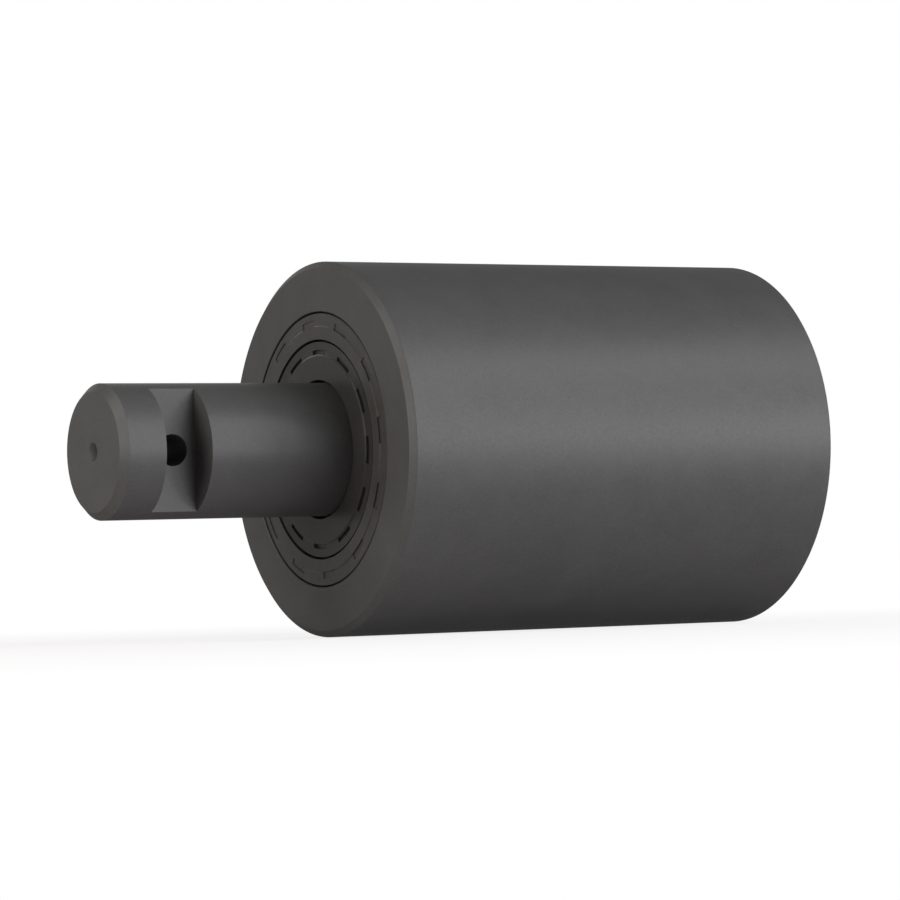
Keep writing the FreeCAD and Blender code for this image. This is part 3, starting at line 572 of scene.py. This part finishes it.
class ROLLER_OT_axle(Operator):
    """Turn the axle, then mill its keeper notch and drill its lock hole."""

    bl_idname = "roller.axle"
    bl_label = "Axle"

    def execute(self, context):
        sizes = context.scene.axle_sizes
        free = -sizes.stub_end
        r = sizes.radius
        # A centre hole in each end: a cone from the mouth to the pilot bore, then a drill point.
        mouth, cone, pilot, depth, tip = 2.125 * MM, 1.95 * MM, 1.0 * MM, 4.5 * MM, 0.6 * MM
        seal_start, seal_end, seal_floor = 2.99 * MM, 5.59 * MM, r - 1.6 * MM
        clip_start, clip_end, clip_floor = 94.45 * MM, 96.05 * MM, 14.3 * MM
        edge, tail_chamfer = 0.6 * MM, 0.8 * MM
        piece = turn_solid("axle_milled", [
            (free + depth + tip, 0.0),
            (free + depth, pilot),
            (free + cone, pilot),
            (free, mouth),
            (free, r - sizes.chamfer),
            (free + sizes.chamfer, r),
            (seal_start, r),
            (seal_start, seal_floor),
            (seal_end, seal_floor),
            (seal_end, r),
            (FRONT_BEARING_BACK, r),
            (FRONT_BEARING_BACK, sizes.shoulder - edge),
            (FRONT_BEARING_BACK + edge, sizes.shoulder),
            (REAR_BEARING - edge, sizes.shoulder),
            (REAR_BEARING, sizes.shoulder - edge),
            (REAR_BEARING, r),
            (clip_start, r),
            (clip_start, clip_floor),
            (clip_end, clip_floor),
            (clip_end, r),
            (AXLE_TAIL - tail_chamfer, r),
            (AXLE_TAIL, r - tail_chamfer),
            (AXLE_TAIL, mouth),
            (AXLE_TAIL - cone, pilot),
            (AXLE_TAIL - depth, pilot),
            (AXLE_TAIL - depth - tip, 0.0),
        ], context.scene.roller_sizes.segments, closed=False)

        middle = free + sizes.notch_start + sizes.notch_width / 2
        height = 2 * r
        cut(piece, make_block(
            (sizes.notch_width, height, 2 * height), (middle, -sizes.notch_floor - height / 2, 0.0)))
        cut(piece, make_cylinder(
            sizes.lock_hole, 2 * height, place=(middle, 0.0, 0.0), turn=(QUARTER_TURN, 0.0, 0.0),
            vertices=96))
        break_edges(piece, width=0.2 * MM)
        dress(piece, "axle", "axle", bpy.data.materials["black_oxide_turned_steel"])
        return {"FINISHED"}


class ROLLER_OT_seal_case(Operator):
    """Turn the seal's outer case with its lip, and sink the recesses into its outer band."""

    bl_idname = "roller.seal_case"
    bl_label = "Seal Case"

    def execute(self, context):
        sizes = context.scene.seal_sizes
        bore = context.scene.roller_sizes.bore
        x = sizes.recess
        front = x - sizes.ring_rise
        slope_end = sizes.ring_outer + 0.27 * MM
        # The case is a little smaller in front than where it is pressed into the bore.
        shoulder, shoulder_end, seat_start = 30.65 * MM, x + 1.3 * MM, x + 1.9 * MM
        back = x + 9.0 * MM
        wall = bore - 1.4 * MM
        inner = sizes.ring_inner
        web = x + 2.3 * MM
        sleeve = 18.5 * MM
        # The lip hangs from its web, bears on the sleeve at its edge and carries the spring on its crest.
        lip_front, lip_back = x + 5.0 * MM, x + 6.2 * MM
        root_end, lip_edge, lip_end = lip_back + 0.8 * MM, lip_back + 1.8 * MM, lip_back + 2.9 * MM
        root, crest, heel = sleeve + 3.1 * MM, sleeve + 1.8 * MM, sleeve + 0.8 * MM
        edge, toe = sleeve + 0.06 * MM, sleeve + 1.4 * MM
        steps, groove = 8, 0.7 * MM
        bends = [HALF_TURN * k / steps for k in range(steps + 1)]
        spring_groove = [(lip_edge - groove * math.cos(b), crest - groove * math.sin(b)) for b in bends]
        piece = turn_solid("seal_case_moulded", [
            (front, inner),
            (front, sizes.ring_outer),
            (x, slope_end),
            (x, shoulder),
            (shoulder_end, shoulder),
            (seat_start, bore),
            (back, bore),
            (back, wall),
            (lip_back, wall),
            (lip_back, root),
            (root_end, crest),
            *spring_groove,
            (lip_end, crest),
            (lip_end, heel),
            (lip_edge, edge),
            (lip_front, toe),
            (lip_front, wall),
            (web, wall),
            (web, inner),
        ], sizes.segments)
        round_ring_edge(piece, along=x, radius=shoulder, size=0.28 * MM)
        # The cutters bite a little into the plain ring, so no two walls lie in one surface.
        reach = 0.02 * MM
        cut(piece, ring_windows(
            "recess_cutters", x - MM, x + sizes.window_depth, sizes.ring_outer - reach, sizes.window_outer,
            sizes.window_angle, sizes.window_turn, sizes.count))
        break_edges(piece, width=0.06 * MM)
        dress(piece, "seal_case", "roller", bpy.data.materials["moulded_nitrile_rubber"])
        return {"FINISHED"}


class ROLLER_OT_seal_sleeve(Operator):
    """Turn the seal's inner sleeve and sink the pockets into its hub."""

    bl_idname = "roller.seal_sleeve"
    bl_label = "Seal Sleeve"

    def execute(self, context):
        sizes = context.scene.seal_sizes
        x = sizes.recess
        hub = x - sizes.hub_rise
        rim, valley, flange_front = 0.4 * MM, x + 0.14 * MM, x + 0.04 * MM
        seat = context.scene.axle_sizes.radius
        mouth = seat + 0.65 * MM
        sleeve = seat + 3.5 * MM
        disc = 27.2 * MM
        disc_front = x + 2.8 * MM
        disc_back = disc_front + 1.2 * MM
        lead = x + 2.9 * MM
        piece = turn_solid("seal_sleeve_moulded", [
            (hub, mouth),
            (hub, sizes.pocket_inner - rim),
            (valley, sizes.pocket_inner),
            (valley, sizes.pocket_outer),
            (flange_front, sizes.flange),
            (disc_front, sizes.flange),
            (disc_front, disc),
            (disc_back, disc),
            (disc_back, sleeve),
            (FRONT_BEARING, sleeve),
            (FRONT_BEARING, seat),
            (lead, seat),
            (lead, mouth),
        ], sizes.segments)
        # The cutters bite a little into the hub's rim, so no two walls lie in one surface.
        reach = 0.05 * MM
        cut(piece, ring_windows(
            "pocket_cutters", x - MM, hub + sizes.pocket_depth, sizes.pocket_inner - reach,
            sizes.pocket_outer, sizes.pocket_angle, sizes.pocket_turn, sizes.count))
        break_edges(piece, width=0.06 * MM)
        # The sleeve gets the darkened copy of the seal rubber, which is painted shade on the hub.
        dress(piece, "seal_sleeve", "axle", bpy.data.materials["hub_rubber_painted_shade"])
        return {"FINISHED"}


class ROLLER_OT_end_cover(Operator):
    """Turn the cup-shaped cover of the closed end."""

    bl_idname = "roller.end_cover"
    bl_label = "End Cover"

    def execute(self, context):
        sizes = context.scene.cover_sizes
        edge = 0.6 * MM
        groove_middle, groove_floor = 102.5 * MM, 29.3 * MM
        groove_start, groove_end = groove_middle - 1.3 * MM, groove_middle + 1.3 * MM
        piece = turn_solid("end_cover_turned", [
            (sizes.inside, sizes.skirt),
            (sizes.inside, sizes.rim - edge),
            (sizes.inside + edge, sizes.rim),
            (groove_start, sizes.rim),
            (groove_start, groove_floor),
            (groove_end, groove_floor),
            (groove_end, sizes.rim),
            (sizes.wall_end - edge, sizes.rim),
            (sizes.wall_end, sizes.rim - edge),
            (sizes.wall_end, sizes.thread),
            (sizes.wall_start, sizes.thread),
            (sizes.wall_start, sizes.skirt),
        ], context.scene.seal_sizes.segments)
        break_edges(piece, width=0.1 * MM)
        dress(
            piece, "end_cover", "roller", bpy.data.materials["black_oxide_faced_steel"])
        return {"FINISHED"}


class ROLLER_OT_fill_plug(Operator):
    """Turn the fill plug and broach its hexagon socket."""

    bl_idname = "roller.fill_plug"
    bl_label = "Fill Plug"

    def execute(self, context):
        sizes = context.scene.cover_sizes
        edge, washer, collar_height, socket_depth = 0.5 * MM, 1.0 * MM, 3.0 * MM, 3.5 * MM
        collar_start = sizes.wall_end + washer
        collar_end = collar_start + collar_height
        piece = turn_solid("fill_plug_turned", [
            (sizes.wall_start, 0.0),
            (sizes.wall_start, sizes.thread - edge),
            (sizes.wall_start + edge, sizes.thread),
            (collar_start, sizes.thread),
            (collar_start, sizes.collar),
            (collar_end - edge, sizes.collar),
            (collar_end, sizes.collar - edge),
            (collar_end, 0.0),
        ], segments=96, closed=False)
        # A prism of six sides, turned so that its middle line lies along the axle.
        cut(piece, make_cylinder(
            sizes.socket / math.sqrt(3), 2 * socket_depth, place=(collar_end, 0.0, 0.0),
            turn=(0.0, QUARTER_TURN, 0.0), vertices=6))
        break_edges(piece, width=0.12 * MM)
        dress(piece, "fill_plug", "roller", bpy.data.materials["zinc_plated_steel"])
        return {"FINISHED"}


class ROLLER_OT_cover_ring(Operator):
    """Make the bore retaining ring of the closed end from discs, ears and an opening."""

    bl_idname = "roller.cover_ring"
    bl_label = "Cover Retaining Ring"

    def execute(self, context):
        sizes = context.scene.cover_sizes
        along = sizes.wall_end + sizes.ring_thickness / 2
        thick, through = sizes.ring_thickness, 2 * sizes.ring_thickness
        outer = context.scene.roller_sizes.groove - 0.03 * MM
        # The inside is set off from the middle, so the band gets thinner towards its ends.
        inner, inner_offset = outer - 4.5 * MM, -0.7 * MM
        ear, ear_hole, opening = 3.0 * MM, 1.25 * MM, 7.4 * MM
        ear_offset, ear_radius = 6.9 * MM, 28.4 * MM
        ear_height = -math.sqrt(ear_radius**2 - ear_offset**2)
        lying = (0.0, QUARTER_TURN, 0.0)
        piece = make_cylinder(outer, thick, (along, 0.0, 0.0), lying, vertices=192)
        piece.name = piece.data.name = "cover_retaining_ring_stamped"
        cut(piece, make_cylinder(inner, through, (along, 0.0, inner_offset), lying, vertices=192))
        for side in (-1, 1):
            ear_place = (along, side * ear_offset, ear_height)
            join_solid(piece, make_cylinder(ear, thick, ear_place, lying, vertices=64))
        for side in (-1, 1):
            ear_place = (along, side * ear_offset, ear_height)
            cut(piece, make_cylinder(ear_hole, through, ear_place, lying, vertices=48))
        cut(piece, make_block((through, opening, 2 * ear_radius), (along, 0.0, -ear_radius)))
        break_edges(piece, width=0.15 * MM)
        dress(
            piece, "cover_retaining_ring", "roller",
            bpy.data.materials["phosphated_spring_steel"])
        return {"FINISHED"}


BEARING_FINISHES = {
    "outer_ring": "ground_bearing_steel",
    "inner_ring": "ground_bearing_steel",
    "balls": "polished_ball_steel",
    "cage_open_side": "pressed_cage_steel",
    "cage_closed_side": "pressed_cage_steel",
    "cage_rivets": "headed_rivet_steel",
}
INSIDE_FINISHES = {
    "seal_spring": "bright_washer_steel",
    "axle_o_ring": "cord_nitrile_rubber",
    "cover_o_ring": "cord_nitrile_rubber",
    "bearing_retaining_ring": "phosphated_spring_steel",
    "axle_circlip": "phosphated_spring_steel",
    "support_washer": "bright_washer_steel",
    "plug_washer": "annealed_copper",
    **{f"{end}_{piece}": finish for end in ("front", "rear") for piece, finish in BEARING_FINISHES.items()},
}


class ROLLER_OT_finishes(Operator):
    """Make every finish, and give the pieces inside the roller theirs."""

    bl_idname = "roller.finishes"
    bl_label = "Finishes"

    def execute(self, context):
        colours = context.scene.finish_colours
        oxide = tuple(colours.oxide)
        rubber = tuple(colours.rubber)
        # Blackened, fine-blasted steel: matte dark grey, with the blasting grit just showing.
        oxided_steel(
            "black_oxide_blasted_steel", oxide, roughness=0.45, grit=0.5, ring_pitch=0.6, ring_height=0.004)
        # The axle is turned and blackened: the same grey with slightly clearer tool rings.
        oxided_steel(
            "black_oxide_turned_steel", oxide, roughness=0.45, grit=0.45, ring_pitch=0.5, ring_height=0.008)
        # The cover is faced on the lathe before blackening: rings across its flat wall.
        oxided_steel(
            "black_oxide_faced_steel", oxide, roughness=0.45, grit=0.45, ring_pitch=0.7, ring_height=0.015)
        # Moulded nitrile rubber: dark and matte, so the seal reads as softer than the steel round it.
        moulded_rubber("moulded_nitrile_rubber", rubber, roughness=0.36, grit=0.35)
        # The sleeve's rubber is the case's rubber darkened to 0.65: painted shade that makes the hub darker
        # than the case.
        moulded_rubber("hub_rubber_painted_shade", shifted(rubber, 0.65), roughness=0.36, grit=0.35)
        # O-ring cord: plain black and even.
        moulded_rubber("cord_nitrile_rubber", srgb("#1d1d1d"), roughness=0.4, grit=0.3)
        # Spring steel with a phosphate skin: brownish black and slightly rough.
        bare_metal(
            "phosphated_spring_steel", srgb("#4a4744"), roughness=0.45, ring_pitch=0.3, ring_height=0.004,
            metallic=0.6)
        # Rolled washer and spring steel: light grey and satin.
        bare_metal("bright_washer_steel", srgb("#9c9c9a"), roughness=0.3, ring_pitch=0.4, ring_height=0.004)
        # Ground bearing rings: bright, with fine grinding rings.
        bare_metal("ground_bearing_steel", srgb("#b9bbbd"), roughness=0.18, ring_pitch=0.2, ring_height=0.001)
        # Polished balls: near mirrors.
        bare_metal("polished_ball_steel", srgb("#c9cbcd"), roughness=0.05, ring_pitch=0.2, ring_height=0.0005)
        # Pressed cage sheet: soft grey with a dull shine.
        bare_metal("pressed_cage_steel", srgb("#a3a29e"), roughness=0.35, ring_pitch=0.3, ring_height=0.003)
        # Rivet heads: a shade brighter than the sheet that they hold.
        bare_metal("headed_rivet_steel", srgb("#a8a7a4"), roughness=0.3, ring_pitch=0.3, ring_height=0.002)
        # Zinc-plated screw steel: light blue-grey and satin.
        bare_metal("zinc_plated_steel", srgb("#a9adb0"), roughness=0.32, ring_pitch=0.4, ring_height=0.004)
        # Annealed copper sealing ring: a thin reddish line under the plug's collar.
        bare_metal("annealed_copper", srgb("#c27a56"), roughness=0.35, ring_pitch=0.3, ring_height=0.003)
        for node, name in INSIDE_FINISHES.items():
            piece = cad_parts[node]
            piece.data.materials.clear()
            piece.data.materials.append(bpy.data.materials[name])
        return {"FINISHED"}


# The camera's place in millimetres and its sensor, both from the fit to the photograph.
CAMERA_PLACE = (-432.41, -790.09, 18.12)
SENSOR_WIDTH = 36.0
# The dim light that comes from all sides, beside the lamps.
FILL = 0.02
# The lamps that light the end faces are a little warmer than those that light the cylinders.
WARM = (1.0, 0.962, 0.89)
COOL = (0.985, 0.985, 1.0)
# Each lamp: name, azimuth and elevation in degrees, distance, width and height in metres, watts and colour.
LAMPS = [
    ("left_high", -95.0, 35.0, 0.45, 0.2, 0.15, 0.74, WARM),
    ("left_low", -95.0, 8.0, 0.45, 0.2, 0.15, 0.24, WARM),
    ("left_near", -80.0, 8.0, 0.45, 0.2, 0.15, 0.88, WARM),
    ("front_low", 15.0, 1.0, 1.3, 0.6, 0.08, 4.2, COOL),
    ("front_high", 15.0, 25.0, 1.3, 0.6, 0.3, 5.7, COOL),
    ("right_low", 45.0, 5.0, 1.3, 0.6, 0.3, 9.6, COOL),
    ("right_high", 45.0, 40.0, 1.3, 0.6, 0.3, 6.2, COOL),
    ("back_right", 115.0, 20.0, 1.3, 0.8, 0.5, 6.0, WARM),
    ("back_left", 170.0, 25.0, 1.3, 0.8, 0.5, 6.0, COOL),
]


def direction(azimuth, elevation):
    """The unit vector from the object towards a viewer or lamp at these angles in degrees."""
    a, e = math.radians(azimuth), math.radians(elevation)
    return Vector((math.sin(a) * math.cos(e), -math.cos(a) * math.cos(e), math.sin(e)))


def seen_directly(tree):
    """1 for what the camera sees, straight, mirrored or through glass, and 0 for what only gives light."""
    path = add_node(tree, "ShaderNodeLightPath")
    seen = add_node(
        tree, "ShaderNodeMath", {0: path.outputs["Is Camera Ray"], 1: path.outputs["Is Glossy Ray"]},
        operation="ADD")
    seen = add_node(
        tree, "ShaderNodeMath", {0: seen.outputs["Value"], 1: path.outputs["Is Transmission Ray"]},
        operation="ADD", use_clamp=True)
    return seen.outputs["Value"]


class ROLLER_OT_studio(Operator):
    """Set up the pale floor, the soft lamps and the camera."""

    bl_idname = "roller.studio"
    bl_label = "Studio"

    def execute(self, context):
        settings = context.scene.studio_settings
        context.scene.view_settings.view_transform = "Standard"
        self.floor()
        self.lamps(settings)
        self.surroundings(context)
        self.camera(context, settings)
        return {"FINISHED"}

    def floor(self):
        """A pale round floor under the roller, which keeps its shadow."""
        fresh_start()
        lowest = CAD_BOUNDS[0].z
        bpy.ops.mesh.primitive_circle_add(
            vertices=96, radius=6.0, fill_type="NGON", location=(0.0, 0.0, lowest))
        floor = bpy.context.object
        floor.name = "floor"
        material = bpy.data.materials.new("pale_studio_floor")
        material.use_nodes = True
        tree = material.node_tree
        tree.nodes.clear()
        seen = seen_directly(tree)
        # Near the roller a share of the floor's real light stays in view and keeps the shadow.
        # Far off it is white.
        place = add_node(tree, "ShaderNodeTexCoord").outputs["Object"]
        away = add_node(tree, "ShaderNodeVectorMath", {0: place}, operation="LENGTH")
        share = add_node(
            tree, "ShaderNodeMapRange",
            {"Value": away.outputs["Value"], "From Min": 0.06, "From Max": 0.3, "To Min": 0.82,
             "To Max": 1.0})
        share = add_node(
            tree, "ShaderNodeMath", {0: share.outputs["Result"], 1: seen}, operation="MULTIPLY")
        # The floor's own pale grey lights the roller from below, a little rosy as in the photograph.
        plain = add_node(tree, "ShaderNodeBsdfDiffuse", {"Color": srgb("#d0c5c8")})
        white = add_node(tree, "ShaderNodeEmission", {"Color": WHITE, "Strength": 1.0})
        mix = add_node(
            tree, "ShaderNodeMixShader",
            {0: share.outputs["Value"], 1: plain.outputs["BSDF"], 2: white.outputs["Emission"]})
        add_node(tree, "ShaderNodeOutputMaterial", {"Surface": mix.outputs["Shader"]})
        floor.data.materials.append(material)

    def lamps(self, settings):
        """Large soft lamps round the roller, each turned to its middle."""
        middle = (CAD_BOUNDS[0] + CAD_BOUNDS[1]) / 2
        for name, azimuth, elevation, distance, width, height, power, colour in LAMPS:
            light = bpy.data.lights.new("lamp_" + name, "AREA")
            light.shape = "RECTANGLE"
            light.size = width
            light.size_y = height
            light.energy = power * settings.brightness
            light.color = colour
            lamp = bpy.data.objects.new("lamp_" + name, light)
            bpy.context.scene.collection.objects.link(lamp)
            back = direction(azimuth, elevation)
            lamp.location = middle + distance * back
            lamp.rotation_euler = back.to_track_quat("Z", "Y").to_euler()
            lamp.visible_camera = False

    def surroundings(self, context):
        """White behind the object for what the camera and reflections see, and a dim fill for the rest."""
        world = bpy.data.worlds.new("studio")
        context.scene.world = world
        world.use_nodes = True
        tree = world.node_tree
        tree.nodes.clear()
        seen = seen_directly(tree)
        fill = add_node(tree, "ShaderNodeBackground", {"Color": WHITE, "Strength": FILL})
        white = add_node(tree, "ShaderNodeBackground", {"Color": WHITE, "Strength": 1.0})
        mix = add_node(
            tree, "ShaderNodeMixShader",
            {0: seen, 1: fill.outputs["Background"], 2: white.outputs["Background"]})
        add_node(tree, "ShaderNodeOutputWorld", {"Surface": mix.outputs["Shader"]})

    def camera(self, context, settings):
        """The photograph's camera, turned about the axle by the axle's own turn there."""
        data = bpy.data.cameras.new("camera")
        data.lens = settings.lens
        data.sensor_width = SENSOR_WIDTH
        data.clip_start = 0.01
        eye = bpy.data.objects.new("camera", data)
        context.scene.collection.objects.link(eye)
        back = direction(-math.degrees(settings.azimuth), math.degrees(settings.elevation))
        place = Matrix.Translation(Vector(CAMERA_PLACE) * MM)
        looks = back.to_track_quat("Z", "Y").to_matrix().to_4x4()
        eye.matrix_world = Matrix.Rotation(settings.axle_turn, 4, "X") @ place @ looks
        context.scene.camera = eye


class ROLLER_PT_panel(Panel):
    """Lists the pieces, the finishes and the studio."""

    bl_label = "Support Roller"
    bl_idname = "ROLLER_PT_panel"
    bl_space_type = "VIEW_3D"
    bl_region_type = "UI"
    bl_category = "Support Roller"

    def draw(self, context):
        for group in GROUPS:
            box = self.layout.box()
            box.label(text=group)
            for name in getattr(context.scene, group).bl_rna.properties.keys():
                if name not in ("rna_type", "name"):
                    box.prop(getattr(context.scene, group), name)
        for step in STEPS:
            self.layout.operator(step.bl_idname)


GROUPS = {
    "roller_sizes": RollerSizes,
    "axle_sizes": AxleSizes,
    "seal_sizes": SealSizes,
    "cover_sizes": CoverSizes,
    "finish_colours": FinishColours,
    "studio_settings": StudioSettings,
}
STEPS = [
    ROLLER_OT_finishes,
    ROLLER_OT_shell,
    ROLLER_OT_axle,
    ROLLER_OT_seal_case,
    ROLLER_OT_seal_sleeve,
    ROLLER_OT_end_cover,
    ROLLER_OT_fill_plug,
    ROLLER_OT_cover_ring,
    ROLLER_OT_studio,
]


def register():
    """Register the settings, the steps and the panel."""
    for group in [*GROUPS.values(), *STEPS, ROLLER_PT_panel]:
        bpy.utils.register_class(group)
    for name, group in GROUPS.items():
        setattr(bpy.types.Scene, name, PointerProperty(type=group))


def unregister():
    """Take everything back in reverse order."""
    for name in GROUPS:
        delattr(bpy.types.Scene, name)
    for group in reversed([*GROUPS.values(), *STEPS, ROLLER_PT_panel]):
        bpy.utils.unregister_class(group)


def main():
    """Build the whole scene in order."""
    register()
    bpy.ops.roller.finishes()
    bpy.ops.roller.shell()
    bpy.ops.roller.axle()
    bpy.ops.roller.seal_case()
    bpy.ops.roller.seal_sleeve()
    bpy.ops.roller.end_cover()
    bpy.ops.roller.fill_plug()
    bpy.ops.roller.cover_ring()
    bpy.ops.roller.studio()


if __name__ == "__main__":
    main()
